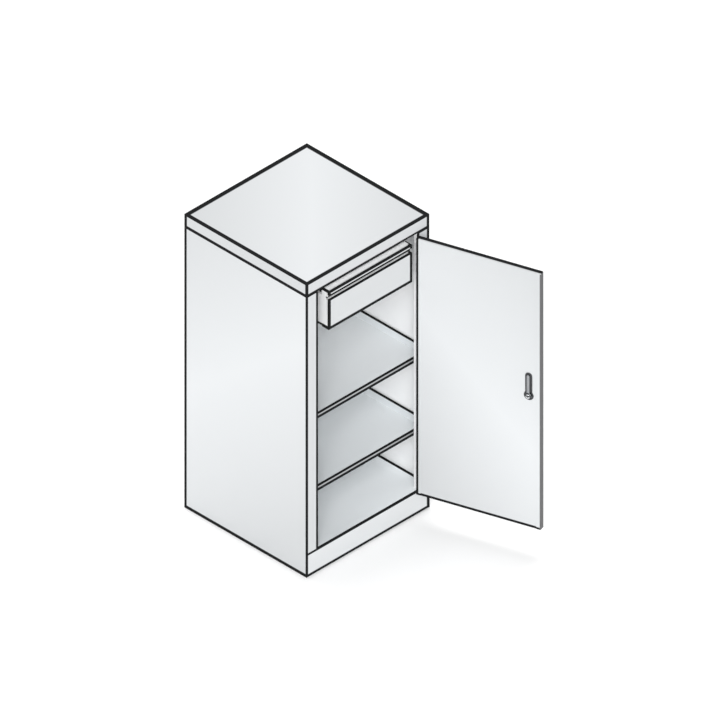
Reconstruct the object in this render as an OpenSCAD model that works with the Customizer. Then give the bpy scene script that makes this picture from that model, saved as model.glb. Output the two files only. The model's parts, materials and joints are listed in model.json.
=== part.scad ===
// Steel storage cabinet with one hinged door, one hanging drawer and two shelves.
// Millimetres, +Z up. The origin is at the middle of the footprint, on the floor, and the
// front faces -Y. Modules are drawn from the front left bottom corner and placed at the end.

/* [Body] */
// Width over the side panels
body_w = 500; // [420:5:640]
// Depth over the door opening's posts and the back
body_d = 500; // [420:5:640]
// Height over the top cover
body_h = 1034; // [960:2:1200]
// Thickness of the body sheets
sheet = 1; // [0.8:0.1:1.4]
// Inside radius of the folds
fold_r = 1.5; // [1:0.25:2]
// Width of each front post
post_w = 47; // [40:1:60]
// Depth of a post's return beside the door
post_return = 19; // [18:0.5:24]
// Width of the lip behind a post
post_lip = 12; // [8:1:16]
// Width of the fold at the back edge of each side panel
rear_return = 18; // [12:1:30]
// Height of the top cover's skirt
skirt_h = 44; // [40:1:60]
// Height of the plinth below the floor sheet
plinth_h = 83; // [60:1:110]
// Width of the flanges round the plinth
plinth_flange = 19; // [12:1:30]
// Shadow gap between the top cover's skirt and the panels below it
seam = 0.8; // [0.4:0.1:1.5]
// How far the top rail's stop lip hangs below the skirt
stop_drop = 12; // [8:1:14]

/* [Door] */
// Thickness of the door
door_t = 18; // [16:0.5:20]
// Gap round the closed door
door_gap = 2.5; // [2:0.1:3]
// Width of the folded lips on the door's inner face
door_lip = 15; // [12:1:20]
// Angle that the door stands open at rest
door_open = 108.5; // [90:0.5:120]
// Width of the stiffener inside the door
stiffener_w = 40; // [30:1:60]
// Width of the stiffener's two flanges
stiffener_flange = 18; // [12:1:24]
// Length of the stiffener short of each end of the door
stiffener_end = 30; // [20:1:60]

/* [Hinges] */
// Height of each hinge
hinge_h = 60; // [50:1:80]
// Distance from the door's ends to the middle of each hinge
hinge_inset = 120; // [80:1:160]
// Radius of the hinge knuckles
knuckle_r = 4.5; // [4.5:0.1:5]
// Radius of the hinge pins
pin_r = 2.5; // [2:0.1:2.5]
// Thickness of the hinge leaves
leaf_t = 2; // [1.6:0.1:2]
// Width of each hinge leaf
leaf_w = 26; // [22:1:32]
// Radius of the hinge screws' heads
screw_head_r = 4; // [3.5:0.1:4.5]
// Radius of the hinge screws' shanks
screw_r = 2.3; // [2:0.1:2.5]

/* [Lock] */
// Distance from the door's free edge to the lock's axis
lock_inset = 38; // [37:1:60]
// Height of the lock's axis above the floor
lock_z = 550; // [440:1:600]
// Width of the lock case on the inner face
case_w = 22; // [20:1:26]
// Radius of the lock case round the spindle
case_hub_r = 15.5; // [14:0.5:18]
// Height of the lock case's top above the lock's axis
case_reach = 79; // [70:1:100]
// Thickness of the lock case
case_t = 2.5; // [2:0.1:2.5]
// Width of the latch cam
cam_w = 9; // [8:1:14]
// Reach of the latch cam from the lock's axis
cam_reach = 73; // [66:1:78]
// Thickness of the latch cam
cam_t = 3; // [2.5:0.1:3]
// Radius of the cam's hub
cam_hub_r = 10; // [9:0.5:13]
// Width over the flats of the cam's nut
nut_w = 11; // [10:1:13]
// Thickness of the cam's nut
nut_t = 3; // [2.5:0.1:3]
// Radius of the spindle
spindle_r = 5; // [4.5:0.1:5.5]
// Width of the spindle's square seat for the cam
spindle_square = 6.5; // [6:0.1:7.5]
// Radius of the rose behind the turn handle
rose_r = 21; // [19:0.5:24]
// Thickness of the rose
rose_t = 3; // [2:0.5:4]
// Length of the turn handle's grip
grip_len = 72; // [60:1:74]
// Width of the turn handle's grip
grip_w = 24; // [22:1:28]
// Thickness of the turn handle's grip
grip_t = 15; // [13:0.5:18]
// Radius of the turn handle's hub
hub_r = 17; // [16:0.5:18]
// How far the turn handle stands off the rose
grip_stand = 27; // [25:0.5:32]
// Radius of the lock plug
plug_r = 7; // [6:0.1:7.5]

/* [Drawer] */
// Distance from each side of the body to the drawer
drawer_side = 81; // [80:0.5:100]
// Height of the drawer front
drawer_h = 133; // [120:1:150]
// Gap between the top cover's skirt and the drawer front
drawer_gap = 20; // [16:1:24]
// How far the closed drawer lies behind the posts
drawer_set_back = 28; // [28:1:40]
// How far the drawer stands out at rest
drawer_out = 38; // [20:1:60]
// Depth of the drawer front's hollow section
front_t = 30; // [26:1:36]
// Height of the lip above the finger groove
grip_lip = 13; // [11:0.5:16]
// Height of the finger groove
groove_h = 14; // [12:0.5:18]
// Depth of the finger groove
groove_d = 9; // [7:0.5:12]
// Length of the drawer box behind its front
box_len = 410; // [340:5:415]
// Height of the drawer box
box_h = 108; // [90:1:116]
// Height of the drawer box above the drawer front's lower edge
box_lift = 3; // [2:0.5:6]
// Width of the rolled rim on the drawer box
rim_w = 8; // [6:1:10]

/* [Runners] */
// Gap beside the drawer that the runners fill
runner_gap = 15; // [15:0.1:16]
// Radius of the runner rollers
roller_r = 9.7; // [9:0.1:11]
// Width of each roller
roller_w = 4; // [3.5:0.1:4]
// Thickness of the runner rails
rail_t = 1.2; // [1:0.1:1.2]
// Height of the runners above the drawer box's bottom
runner_z = 45; // [30:1:70]
// Distance from the drawer's front plane to the drawer rails
rail_start = 50; // [46:1:60]
// Length of the drawer rails
rail_len = 388; // [320:2:388]
// Thickness of the runner hangers
hanger_t = 1.5; // [1.2:0.1:2]
// Width of the hangers' top flange
hanger_flange = 22; // [16:1:30]

/* [Shelves] */
// Height of the upper shelf's top above the floor
upper_shelf_z = 528; // [420:1:640]
// Height of the lower shelf's top above the floor
lower_shelf_z = 273; // [200:1:380]
// Height of the shelves' folded edges
shelf_edge = 18; // [16:1:30]
// Height of the upturned rims at the shelves' sides
shelf_rim = 32; // [20:1:40]
// Distance from the posts' face to the shelves' front edge
shelf_front = 30; // [30:1:60]
// Gap between a shelf and the side panels
shelf_gap = 2.5; // [2:0.5:4]
// Width and height of each shelf bracket's legs
bracket_leg = 20; // [14:1:26]
// Length of each shelf bracket
bracket_len = 40; // [30:1:60]
// Thickness of the shelf brackets
bracket_t = 1.5; // [1.2:0.1:2]

/* [Hidden] */
$fn = 48;

// Clearances
running = 0.05;
near = 0.3;
joint_gap = 0.4;
// From an outer face to just past the bend inside it
bend_clear = sheet + fold_r + near;

// Heights shared by the body and the door
floor_z = plinth_h + sheet;
skirt_z = body_h - skirt_h;
strip_top = body_h - 4 * sheet;
back_top = body_h - 6 * sheet;
strip_overlap = 15;
door_z0 = floor_z + door_gap;
door_z1 = skirt_z - door_gap;

// The rubber buffers behind the closed door
buffer_r = 4.5;
buffer_inset = 40;

// The ends of a shelf's side rims, the folded return behind its front edge, and its brackets' places
rim_inset = 4;
rim_slope = 14;
shelf_return = 14;
shelf_return_gap = 4;
bracket_ys = [shelf_front + 30, body_d - bracket_len - 60];

// The door when closed, and its hinge axis in the gap beside it
door_x0 = post_w + door_gap;
door_x1 = body_w - post_w - door_gap;
knuckle_gap = 0.5;
hinge_x = body_w - post_w - door_gap / 2;
hinge_y = -knuckle_r - knuckle_gap;
hinge_zs = [door_z1 - hinge_inset, door_z0 + hinge_inset];

// The lock, from the door's outer face inwards
lock_x = door_x0 + lock_inset;
liner_y = door_t - sheet;
case_y = liner_y + case_t;
cam_y = case_y + 1;
nut_y = cam_y + cam_t;
spindle_end = nut_y + nut_t;
hub_y = -rose_t - near;
grip_y = -rose_t - grip_stand;
spindle_hole_r = spindle_r + 0.5;
spindle_grip = 12;
hub_sink = 6;
plug_len = 14;
plug_proud = 0.5;
keyway = [1.4, 8, 8];

// The drawer front's folds, and the depth of the rim along the top of the drawer box
front_r = 2;
front_flange = 22;
rim_h = 5;

// The drawer and its runners, measured from the drawer's own corner
drawer_x = drawer_side;
drawer_w = body_w - 2 * drawer_side;
drawer_z = skirt_z - drawer_gap - drawer_h;
drawer_y = drawer_set_back - drawer_out;
roller_z = box_lift + runner_z;
channel_half = roller_r + near;
end_inset = roller_r + 3;
drawer_flange = 6.6;
cabinet_flange = 8;
front_roller_y = rail_start + end_inset;
rear_roller_y = rail_start + rail_len - end_inset;
rail_r = 1;
stud_r = 2.5;
stud_head_r = 4;
stud_seat = 1;
roller_groove = 0.8;
roller_wall = 2;
fixed_stud_head = 0.6;
moving_stud_head = 0.8;
hanger_foot = 9;
hanger_margin = 8;

// The roller tracks, from the drawer's side outwards: fixed front roller, then rear roller
fixed_end = drawer_x - rail_t - 1.2;
moving_end = fixed_end - roller_w - 1.6;
fixed_track = [fixed_end - roller_w, fixed_end];
moving_track = [moving_end - roller_w, moving_end];

// The hinge pins' and hinge screws' heads, and how far the screws reach behind the leaf
pin_head_h = 1.8;
pin_head_r = knuckle_r - 0.5;
screw_head_h = 1.8;
screw_reach = 6;

// Screw places on a hinge leaf, measured from the hinge axis
screw_spots = [
    [leaf_w - 7, -hinge_h / 3], [leaf_w - 15, 0], [leaf_w - 7, hinge_h / 3]
];

// Draws one piece of a folded sheet's cross section, given the points of its middle line:
// even numbers are the flat stretches and odd numbers the bends between them
module fold_piece(pts, i, t, r) {
    rm = r + t / 2;
    if (i % 2 == 0) {
        j = i / 2;
        d = (pts[j + 1] - pts[j]) / norm(pts[j + 1] - pts[j]);
        a = pts[j] + (j == 0 ? 0 : rm) * d;
        b = pts[j + 1] - (j == len(pts) - 2 ? 0 : rm) * d;
        side = [-d.y, d.x] * t / 2;
        polygon([a + side, b + side, b - side, a - side]);
    } else {
        j = (i + 1) / 2;
        d0 = (pts[j] - pts[j - 1]) / norm(pts[j] - pts[j - 1]);
        d1 = (pts[j + 1] - pts[j]) / norm(pts[j + 1] - pts[j]);
        c = pts[j] - rm * d0 + rm * d1;
        k = rm + t;
        intersection() {
            translate(c) difference() {
                circle(rm + t / 2);
                circle(rm - t / 2);
            }
            polygon([c, c - d1 * k, c - d1 * k + d0 * k, c + d0 * k]);
        }
    }
}

// Extrudes a section drawn in Y and Z from x0 to x1
module along_x(x0, x1) {
    translate([x0, 0, 0]) rotate([90, 0, 90]) linear_extrude(x1 - x0) children();
}

// Extrudes a section drawn in X and Z from y0 to y1
module along_y(y0, y1) {
    translate([0, y1, 0]) rotate([90, 0, 0]) linear_extrude(y1 - y0) children();
}

// Extrudes a plan from z0 to z1
module along_z(z0, z1) {
    translate([0, 0, z0]) linear_extrude(z1 - z0) children();
}

// Folded sheets whose section is drawn in Y and Z, in X and Z, and in X and Y
module fold_x(x0, x1, pts, t = sheet, r = fold_r) {
    for (i = [0 : 2 * len(pts) - 4]) along_x(x0, x1) fold_piece(pts, i, t, r);
}

module fold_y(y0, y1, pts, t = sheet, r = fold_r) {
    for (i = [0 : 2 * len(pts) - 4]) along_y(y0, y1) fold_piece(pts, i, t, r);
}

module fold_z(z0, z1, pts, t = sheet, r = fold_r) {
    for (i = [0 : 2 * len(pts) - 4]) along_z(z0, z1) fold_piece(pts, i, t, r);
}

// A block between two corners
module block(a, b) {
    translate(a) cube(b - a);
}

// A rod along Y
module rod_y(r, y0, y1) {
    translate([0, y0, 0]) rotate([-90, 0, 0]) cylinder(r = r, h = y1 - y0);
}

// A rod along X
module rod_x(r, x0, x1) {
    translate([x0, 0, 0]) rotate([0, 90, 0]) cylinder(r = r, h = x1 - x0);
}

// A rectangle from the corner [x, y] whose corners at the far y are round
module arched(x, y, w, h, r) {
    translate([x, y]) {
        square([w, h - r]);
        translate([r, 0]) square([w - 2 * r, h]);
        translate([r, h - r]) circle(r);
        translate([w - r, h - r]) circle(r);
    }
}

// A rectangle with four round corners
module rounded(x, y, w, h, r) {
    translate([x, y]) {
        translate([0, r]) square([w, h - 2 * r]);
        translate([r, 0]) square([w - 2 * r, h]);
        for (cx = [r, w - r], cy = [r, h - r]) translate([cx, cy]) circle(r);
    }
}

// A block whose top and upright edges are round
module soft_block(a, b, r) {
    s = b - a;
    intersection() {
        along_x(a.x, b.x) arched(a.y, a.z, s.y, s.z, r);
        along_y(a.y, b.y) arched(a.x, a.z, s.x, s.z, r);
        along_z(a.z, b.z) rounded(a.x, a.y, s.x, s.y, r);
    }
}

// A pan of sheet metal, open below
module pan(a, b, t = sheet, r = fold_r) {
    difference() {
        soft_block(a, b, r + t);
        soft_block(a + [t, t, -1], b - [t, t, t], r);
    }
}

// Puts a piece drawn from the front left bottom corner in the part's own frame
module in_body() {
    translate([-body_w / 2, -body_d / 2, 0]) children();
}

// Mirrors a left-hand piece to the right-hand side
module on_right() {
    mirror([1, 0, 0]) children();
}

// Puts a piece of the closed door where the open door is
module in_door() {
    in_body() translate([hinge_x, hinge_y, 0]) rotate([0, 0, door_open])
        translate([-hinge_x, -hinge_y, 0]) children();
}

// Puts a piece of the lock on the lock's axis
module in_lock() {
    in_door() translate([lock_x, 0, lock_z]) children();
}

// Puts a piece of the drawer where the drawer stands at rest
module in_drawer() {
    in_body() translate([drawer_x, drawer_y, drawer_z]) children();
}

// Side panel: wall, front post with its return and lip, rear fold and the strip inside the skirt
module side_panel() {
    h = sheet / 2;
    post = [
        [post_w - post_lip, post_return - h], [post_w - h, post_return - h], [post_w - h, h],
        [h, h], [h, body_d - h], [rear_return, body_d - h]
    ];
    foot = [[h, sheet], [h, body_d - h], [rear_return, body_d - h]];
    fold_z(floor_z, skirt_z - seam, post);
    fold_z(0, floor_z, foot);
    block([sheet, post_return, skirt_z - strip_overlap],
        [2 * sheet, body_d - rear_return, strip_top]);
}

module left_side_panel() color("gainsboro") in_body() side_panel();

module right_side_panel() color("gainsboro") difference() {
    on_right() in_body() side_panel();
    in_body() screw_holes();
}

module back_panel() color("lightgray") in_body()
    block([bend_clear, body_d - 2 * sheet, sheet],
        [body_w - bend_clear, body_d - sheet, back_top]);

// Plinth frame: full-width front with folded edges, and a wall and flanges all round
module plinth_frame() color("gainsboro") in_body() {
    h = sheet / 2;
    back = body_d - sheet - fold_r;
    front = [[plinth_flange, plinth_h - h], [h, plinth_h - h], [h, h], [plinth_flange, h]];
    fold_x(sheet, body_w - sheet, front);
    for (x = [0, body_w - sheet]) block([x, 0, 0], [x + sheet, sheet, plinth_h]);
    difference() {
        block([sheet, fold_r + sheet, 0], [body_w - sheet, back, plinth_h]);
        block([2 * sheet, 0, -1], [body_w - 2 * sheet, back - sheet, plinth_h + 1]);
    }
    for (z = [0, plinth_h - sheet]) difference() {
        block([sheet, fold_r + sheet, z], [body_w - sheet, back, z + sheet]);
        block([plinth_flange, plinth_flange, z - 1],
            [body_w - plinth_flange, back - plinth_flange, z + sheet + 1]);
    }
}

module floor_panel() color("lightgray") in_body()
    block([sheet + near, 0, plinth_h],
        [body_w - sheet - near, body_d - 2 * sheet, floor_z]);

module top_cover() color("whitesmoke") in_body() pan([0, 0, skirt_z], [body_w, body_d, body_h]);

// Top rail behind the skirt, folded down at the back as the door's stop
module top_front_rail() color("lightgray") in_body() {
    h = sheet / 2;
    stop_y = post_return + fold_r + h;
    section = [[sheet + h, body_h - skirt_h / 2], [sheet + h, skirt_z + h],
        [stop_y, skirt_z + h], [stop_y, skirt_z - stop_drop]];
    fold_x(bend_clear, body_w - bend_clear, section);
}

// Rubber buffers on the stop lip
module door_buffers() color("dimgray") in_body()
    for (x = [door_x0 + buffer_inset, door_x1 - buffer_inset])
        translate([x, 0, skirt_z - stop_drop / 2])
            rod_y(buffer_r, door_t + near, post_return + fold_r);

// Shelf: pan with folded edges, a return behind its front edge and an upturned rim at each side
module shelf(z) color("silver") in_body() {
    a = [sheet + shelf_gap, shelf_front, z - shelf_edge];
    b = [body_w - sheet - shelf_gap, body_d - 3 * sheet, z];
    pan(a, b);
    block([a.x + shelf_return_gap, a.y + sheet / 2, a.z],
        [b.x - shelf_return_gap, a.y + shelf_return, a.z + sheet]);
    front = a.y + rim_inset;
    rear = b.y - rim_inset;
    foot = z - shelf_edge / 2;
    top = z + shelf_rim;
    for (x = [a.x, b.x - sheet]) along_x(x, x + sheet)
        polygon([[front, foot], [rear, foot], [rear, top], [front + rim_slope, top],
            [front, top - rim_slope]]);
}

module upper_shelf() shelf(upper_shelf_z);

module lower_shelf() shelf(lower_shelf_z);

// Four angle brackets on the side panels, under one shelf
module shelf_brackets(z) color("darkgray") {
    h = bracket_t / 2;
    top = z - shelf_edge - h;
    section = [[sheet + bracket_leg, top], [sheet + h, top], [sheet + h, top - bracket_leg]];
    for (y = bracket_ys) {
        in_body() fold_y(y, y + bracket_len, section, bracket_t);
        on_right() in_body() fold_y(y, y + bracket_len, section, bracket_t);
    }
}

module upper_shelf_brackets() shelf_brackets(upper_shelf_z);

module lower_shelf_brackets() shelf_brackets(lower_shelf_z);

// Hanger: angle plate from the top cover's underside down beside the runner
module runner_hanger() color("silver") in_body() {
    h = hanger_t / 2;
    x = drawer_x - runner_gap - h;
    low = drawer_z + roller_z - channel_half - hanger_margin;
    high = body_h - sheet - h;
    section = [[x - hanger_foot, low], [x, low], [x, high], [x - hanger_flange, high]];
    y0 = drawer_set_back + rail_start;
    fold_y(y0 - hanger_margin, y0 + rail_len + hanger_margin / 2, section, hanger_t);
}

module left_runner_hanger() runner_hanger();

module right_runner_hanger() on_right() runner_hanger();

// Runner channel: web against the plane x, flanges reaching to x + reach
module channel(x, reach, y0, y1) {
    side = sign(reach);
    h = rail_t / 2;
    half = channel_half + h;
    section = [[x + reach, -half], [x + side * h, -half], [x + side * h, half], [x + reach, half]];
    translate([0, 0, drawer_z + roller_z]) fold_y(y0, y1, section, rail_t, rail_r);
}

// A fixed rail on its hanger, with the stud of the front roller
module cabinet_rail() color("lightsteelblue") in_body() {
    wall = drawer_x - runner_gap;
    channel(wall, cabinet_flange, drawer_set_back + rail_start, drawer_set_back + rail_start + rail_len);
    translate([0, drawer_set_back + front_roller_y, drawer_z + roller_z]) {
        rod_x(stud_head_r, wall + rail_t / 2, fixed_track[0] - near);
        rod_x(stud_r, fixed_track[0] - near - stud_seat, fixed_track[1] + near + fixed_stud_head / 2);
        rod_x(stud_head_r, fixed_track[1] + near, fixed_track[1] + near + fixed_stud_head);
    }
}

module left_cabinet_rail() cabinet_rail();

module right_cabinet_rail() on_right() cabinet_rail();

// A rail on the drawer's side, with the stud of the rear roller
module drawer_rail() color("lightsteelblue") in_body() {
    channel(drawer_x, -drawer_flange, drawer_y + rail_start, drawer_y + rail_start + rail_len);
    translate([0, drawer_y + rear_roller_y, drawer_z + roller_z]) {
        rod_x(stud_head_r, moving_track[1] + near, drawer_x - rail_t / 2);
        rod_x(stud_r, moving_track[0] - near - moving_stud_head / 2,
            moving_track[1] + near + stud_seat);
        rod_x(stud_head_r, moving_track[0] - near - moving_stud_head, moving_track[0] - near);
    }
}

module left_drawer_rail() drawer_rail();

module right_drawer_rail() on_right() drawer_rail();

// A nylon roller with a groove round each face
module roller(track, y) color("white") in_body()
    translate([0, y, drawer_z + roller_z]) difference() {
        rod_x(roller_r, track[0], track[1]);
        rod_x(stud_r + running, track[0] - 1, track[1] + 1);
        for (x = [track[0] - roller_groove, track[1] - roller_groove]) difference() {
            rod_x(roller_r - roller_wall, x, x + 2 * roller_groove);
            rod_x(stud_r + roller_wall, x - 1, x + 2 * roller_groove + 1);
        }
    }

module front_left_roller() roller(fixed_track, drawer_set_back + front_roller_y);

module front_right_roller() on_right() roller(fixed_track, drawer_set_back + front_roller_y);

module rear_left_roller() roller(moving_track, drawer_y + rear_roller_y);

module rear_right_roller() on_right() roller(moving_track, drawer_y + rear_roller_y);

// The closed outline of the drawer front's end, with the finger groove cut in
module drawer_front_outline(r) {
    difference() {
        rounded(0, 0, front_t, drawer_h, r);
        translate([-1, drawer_h - grip_lip - groove_h]) square([groove_d + 1, groove_h]);
    }
}

// Drawer front: one folded section with a grip lip and groove, closed by plates at its ends
module drawer_front() color("whitesmoke") in_drawer() {
    h = sheet / 2;
    face = drawer_h - grip_lip - groove_h;
    lip = drawer_h - grip_lip;
    section = [
        [front_t - h, front_flange], [front_t - h, h], [h, h], [h, face - h], [groove_d + h, face - h],
        [groove_d + h, lip + h], [h, lip + h], [h, drawer_h - h], [front_t - h, drawer_h - h],
        [front_t - h, drawer_h - front_flange]
    ];
    fold_x(sheet / 2, drawer_w - sheet / 2, section, sheet, front_r);
    for (x = [0, drawer_w - sheet]) along_x(x, x + sheet) drawer_front_outline(front_r + sheet);
}

// Drawer box: floor and four walls with a rolled rim along the top
module drawer_box() color("gainsboro") in_drawer() {
    a = [0, front_t, box_lift];
    b = [drawer_w, front_t + box_len, box_lift + box_h];
    difference() {
        block(a, b);
        block(a + [sheet, sheet, sheet], b + [-sheet, -sheet, 1]);
    }
    rim = b.z - rim_h;
    difference() {
        block([a.x + sheet / 2, a.y + sheet / 2, rim], b - [sheet / 2, sheet / 2, 0]);
        block([rim_w, a.y + rim_w, rim - 1], [b.x - rim_w, b.y - rim_w, b.z + 1]);
        difference() {
            block([sheet, a.y + sheet, rim - 1], [b.x - sheet, b.y - sheet, b.z - sheet]);
            block([rim_w - sheet, a.y + rim_w - sheet, rim - 2],
                [b.x - rim_w + sheet, b.y - rim_w + sheet, b.z + 2]);
        }
    }
}

// A hinge leaf on the +X side of the hinge axis, its middle at z = 0
module leaf(own_thirds) {
    third = hinge_h / 3;
    back = -hinge_y;
    difference() {
        union() {
            block([knuckle_r + near, back - leaf_t, -hinge_h / 2], [leaf_w, back, hinge_h / 2]);
            for (i = own_thirds) {
                z0 = -hinge_h / 2 + i * third + (i == 0 ? 0 : joint_gap / 2);
                z1 = -hinge_h / 2 + (i + 1) * third - (i == 2 ? 0 : joint_gap / 2);
                translate([0, 0, z0]) cylinder(r = knuckle_r, h = z1 - z0);
                block([leaf_t / 4, back - leaf_t, z0], [knuckle_r + 2 * near, back, z1]);
            }
        }
        for (s = screw_spots) translate([s[0], 0, s[1]])
            rod_y(screw_r + near, back - leaf_t - 1, back + 1);
        translate([0, 0, -hinge_h]) cylinder(r = len(own_thirds) == 1 ? pin_r + running : pin_r,
            h = 2 * hinge_h);
    }
}

module at_hinge(i) {
    translate([hinge_x, hinge_y, hinge_zs[i]]) children();
}

module upper_hinge_frame_leaf() color("silver") in_body() at_hinge(0) leaf([0, 2]);

module lower_hinge_frame_leaf() color("silver") in_body() at_hinge(1) leaf([0, 2]);

module upper_hinge_door_leaf() color("silver") in_door() at_hinge(0) mirror([1, 0, 0]) leaf([1]);

module lower_hinge_door_leaf() color("silver") in_door() at_hinge(1) mirror([1, 0, 0]) leaf([1]);

// A hinge pin with a low round head
module hinge_pin() {
    rim = pin_head_h / 2;
    translate([0, 0, -hinge_h / 2]) cylinder(r = pin_r, h = hinge_h + rim / 2);
    translate([0, 0, hinge_h / 2]) cylinder(r = pin_head_r, h = rim);
    translate([0, 0, hinge_h / 2 + rim]) cylinder(r1 = pin_head_r, r2 = pin_head_r - rim, h = rim);
}

module upper_hinge_pin() color("gray") in_body() at_hinge(0) hinge_pin();

module lower_hinge_pin() color("gray") in_body() at_hinge(1) hinge_pin();

// Screws through one leaf of each hinge and the sheet behind it
module hinge_screws() {
    back = -hinge_y;
    for (i = [0, 1], s = screw_spots) at_hinge(i) translate([s[0], 0, s[1]]) {
        rod_y(screw_head_r, back - leaf_t - screw_head_h, back - leaf_t);
        rod_y(screw_r, back - leaf_t - screw_head_h / 2, back + screw_reach);
    }
}

module hinge_frame_screws() color("gray") in_body() hinge_screws();

module hinge_door_screws() color("gray") in_door()
    translate([2 * hinge_x, 0, 0]) mirror([1, 0, 0]) hinge_screws();

// The holes that the hinge screws need in a post or in the door
module screw_holes() {
    for (i = [0, 1], s = screw_spots) at_hinge(i) translate([s[0], 0, s[1]])
        rod_y(screw_r + near, -hinge_y - 1, -hinge_y + sheet + fold_r);
}

// Door shell: outer face, sides and inner lips folded from one sheet, with folded ends
module door_outer_panel() color("gainsboro") in_door() {
    h = sheet / 2;
    section = [
        [door_x0 + door_lip, door_t - h], [door_x0 + h, door_t - h], [door_x0 + h, h],
        [door_x1 - h, h], [door_x1 - h, door_t - h], [door_x1 - door_lip, door_t - h]
    ];
    difference() {
        union() {
            fold_z(door_z0, door_z1, section);
            for (z = [door_z0, door_z1 - sheet])
                block([door_x0 + h, h, z], [door_x1 - h, liner_y, z + sheet]);
        }
        translate([lock_x, 0, lock_z]) rod_y(spindle_hole_r, -1, liner_y - sheet);
        translate([2 * hinge_x, 0, 0]) mirror([1, 0, 0]) screw_holes();
    }
}

// Inner skin of the door, held behind the shell's lips
module door_inner_panel() color("lightgray") in_door() difference() {
    end = sheet + near;
    block([door_x0 + bend_clear, liner_y - sheet, door_z0 + end],
        [door_x1 - bend_clear, liner_y, door_z1 - end]);
    translate([lock_x, 0, lock_z]) rod_y(spindle_hole_r, 0, door_t + 1);
}

// Hat section between the two skins
module door_stiffener() color("silver") in_door() {
    h = sheet / 2;
    mid = (door_x0 + door_x1) / 2;
    half = stiffener_w / 2;
    near_y = sheet + h;
    far_y = liner_y - sheet - h;
    section = [
        [mid - half - stiffener_flange, far_y], [mid - half, far_y], [mid - half, near_y],
        [mid + half, near_y], [mid + half, far_y], [mid + half + stiffener_flange, far_y]
    ];
    fold_z(door_z0 + stiffener_end, door_z1 - stiffener_end, section);
}

// A bar with one round end at the origin and one at height l above it
module pill(w, l) {
    translate([-w / 2, 0]) square([w, l]);
    circle(w / 2);
    translate([0, l]) circle(w / 2);
}

// Rose on the outer face, which carries the spindle
module handle_rose() color("dimgray") in_lock() difference() {
    union() {
        rod_y(rose_r, -rose_t + 1, 0);
        rod_y(rose_r - 1, -rose_t, 0);
    }
    rod_y(spindle_r + running, -rose_t - 1, 1);
}

// Flat lock case on the inner face, with a raised rim round the spindle
module lock_case() color("dimgray") in_lock() difference() {
    union() {
        along_y(liner_y, case_y) pill(case_w, case_reach - case_w / 2);
        rod_y(case_hub_r, liner_y, case_y);
    }
    rod_y(spindle_r + running, liner_y - 1, case_y + 1);
}

// Turn handle: round hub and a long grip with a domed face, bored for spindle and lock plug
module turn_handle() color("dimgray") in_lock() difference() {
    dome_r = grip_len * 1.1;
    union() {
        rod_y(hub_r, grip_y + hub_sink, hub_y);
        intersection() {
            along_y(grip_y, grip_y + grip_t)
                translate([0, -(grip_len - grip_w) / 2]) pill(grip_w, grip_len - grip_w);
            translate([-grip_w, grip_y + dome_r, 0]) rotate([0, 90, 0])
                cylinder(r = dome_r, h = 2 * grip_w, $fn = 96);
        }
    }
    rod_y(spindle_r, hub_y - spindle_grip, hub_y + 1);
    rod_y(plug_r + running, grip_y - 1, grip_y + plug_len + near);
}

// Spindle: round through the door, square for the cam, threaded size for the nut
module spindle() color("silver") in_lock() {
    rod_y(spindle_r, hub_y - spindle_grip, cam_y - near);
    s = spindle_square;
    along_y(cam_y - 1, nut_y) translate([-s / 2, -s / 2]) square([s, s]);
    rod_y(spindle_square / 2, nut_y - 1, spindle_end);
}

// Latch cam: hub and bar, pointing up when the door is unlocked
module latch_cam() color("silver") in_lock() difference() {
    s = spindle_square + 4 * running;
    union() {
        along_y(cam_y, nut_y) pill(cam_w, cam_reach - cam_w / 2);
        rod_y(cam_hub_r, cam_y, nut_y);
    }
    along_y(cam_y - 1, nut_y + 1) translate([-s / 2, -s / 2]) square([s, s]);
}

// Hexagon nut on the spindle's end
module cam_nut() color("dimgray") in_lock() difference() {
    along_y(nut_y, spindle_end) circle(r = nut_w / sqrt(3), $fn = 6);
    rod_y(spindle_square / 2 + running, nut_y - 1, spindle_end + 1);
}

// Lock plug with a keyway, just proud of the turn handle
module lock_plug() color("silver") in_lock() difference() {
    rod_y(plug_r, grip_y - plug_proud, grip_y + plug_len);
    along_y(grip_y - 1, grip_y + keyway.z)
        translate([-keyway.x / 2, -keyway.y / 2]) square([keyway.x, keyway.y]);
}

left_side_panel();
right_side_panel();
back_panel();
plinth_frame();
floor_panel();
top_cover();
top_front_rail();
door_buffers();
upper_shelf();
lower_shelf();
upper_shelf_brackets();
lower_shelf_brackets();
left_runner_hanger();
right_runner_hanger();
left_cabinet_rail();
right_cabinet_rail();
upper_hinge_frame_leaf();
lower_hinge_frame_leaf();
upper_hinge_pin();
lower_hinge_pin();
hinge_frame_screws();
door_outer_panel();
door_inner_panel();
door_stiffener();
upper_hinge_door_leaf();
lower_hinge_door_leaf();
hinge_door_screws();
handle_rose();
lock_case();
turn_handle();
spindle();
latch_cam();
cam_nut();
lock_plug();
drawer_front();
drawer_box();
left_drawer_rail();
right_drawer_rail();
front_left_roller();
front_right_roller();
rear_left_roller();
rear_right_roller();
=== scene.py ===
"""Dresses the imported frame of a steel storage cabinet: finishes, fasteners, lock, light and camera."""

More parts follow.
